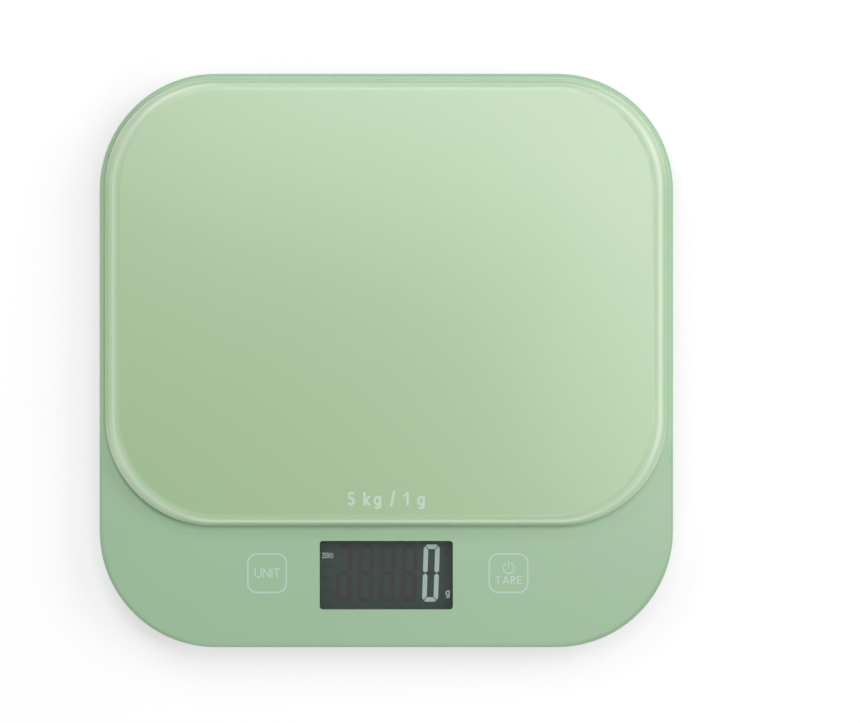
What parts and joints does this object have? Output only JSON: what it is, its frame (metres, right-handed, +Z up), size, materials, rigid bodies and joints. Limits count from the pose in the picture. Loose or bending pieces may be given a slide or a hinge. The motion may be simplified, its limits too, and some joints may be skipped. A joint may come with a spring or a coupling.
{
  "type": "kitchen scale",
  "caption": "Flat square kitchen scale with large corners, a raised weighing platform, a digital display between touch keys, and a battery door underneath.",
  "frame": {"origin": "on the table under the middle of the square body, at the bottom of the feet", "axes": "+Z up, +Y to the rear, away from the display, +X to the right of a person facing the display"},
  "size_m": [0.2, 0.2, 0.0225],
  "materials": {
    "body_plastic": "fine matte moulded finish, soft sage green",
    "base_plastic": "fine spark texture, soft sage green",
    "platform_glass": "satin etched toughened glass, green behind",
    "foam_tape": "double-sided foam tape",
    "inner_plastic": "plain moulded",
    "plate_steel": "zinc plated",
    "screw_steel": "zinc plated",
    "bar_aluminium": "milled",
    "gauge_foil": "amber film with foil grid",
    "sealant": "soft white sealant",
    "wire_red": "insulated wire",
    "wire_black": "insulated wire",
    "wire_green": "insulated wire",
    "wire_white": "insulated wire",
    "window_clear": "clear polished",
    "black_tape": "adhesive frame",
    "polariser_film": "dark film",
    "lcd_glass": "clear",
    "light_panel": "milky light guide",
    "lamp_plastic": "small lamp",
    "connector_rubber": "layered contact rubber",
    "board_laminate": "green board lacquer",
    "chip_plastic": "black moulded package",
    "capacitor_can": "small cans",
    "spring_wire": "nickel plated wire",
    "contact_metal": "nickel plated strip",
    "battery_sleeve": "printed sleeve over a steel can",
    "foot_rubber": "soft pale rubber",
    "label_paper": "blank label"
  },
  "bodies": {
    "base": {"top_cover": "body_plastic", "bottom_cover": "base_plastic", "load_cell": "bar_aluminium", "load_cell_plate": "plate_steel", "load_cell_screws": "screw_steel", "strain_gauges": "gauge_foil", "gauge_coating": "sealant", "cell_lead_red": "wire_red", "cell_lead_black": "wire_black", "cell_lead_green": "wire_green", "cell_lead_white": "wire_white", "display_window": "window_clear", "window_tape": "black_tape", "lcd_polariser": "polariser_film", "lcd_front_glass": "lcd_glass", "lcd_rear_glass": "lcd_glass", "backlight_panel": "light_panel", "backlight_leds": "lamp_plastic", "lcd_frame": "inner_plastic", "zebra_strip": "connector_rubber", "circuit_board": "board_laminate", "board_screws": "screw_steel", "controller_chip": "chip_plastic", "converter_chip": "chip_plastic", "capacitors": "capacitor_can", "touch_spring_unit": "spring_wire", "touch_spring_tare": "spring_wire", "battery_front": "battery_sleeve", "battery_rear": "battery_sleeve", "contact_bridge": "contact_metal", "contact_positive": "contact_metal", "contact_negative": "contact_metal", "battery_spring_front": "spring_wire", "battery_spring_rear": "spring_wire", "battery_lead_red": "wire_red", "battery_lead_black": "wire_black", "foot_front_left": "foot_rubber", "foot_front_right": "foot_rubber", "foot_rear_left": "foot_rubber", "foot_rear_right": "foot_rubber", "housing_screws": "screw_steel", "rating_label": "label_paper"},
    "platform": {"platform_glass": "platform_glass", "platform_tape": "foam_tape", "platform_carrier": "inner_plastic", "platform_plate": "plate_steel", "platform_screws": "screw_steel"},
    "battery_door": {"battery_door": "base_plastic"}
  },
  "joints": [
    {"name": "platform_travel", "type": "slide", "parent": "base", "child": "platform", "axis": [0, 0, -1], "range_m": [0, 0.0008], "stiffness_N_per_m": 100000, "deforming": ["load_cell"]},
    {"name": "battery_door_hinge", "type": "hinge", "parent": "base", "child": "battery_door", "pos_m": [0, 0.0937, 0.0015], "axis": [1, 0, 0], "range_deg": [0, 50]}
  ]
}
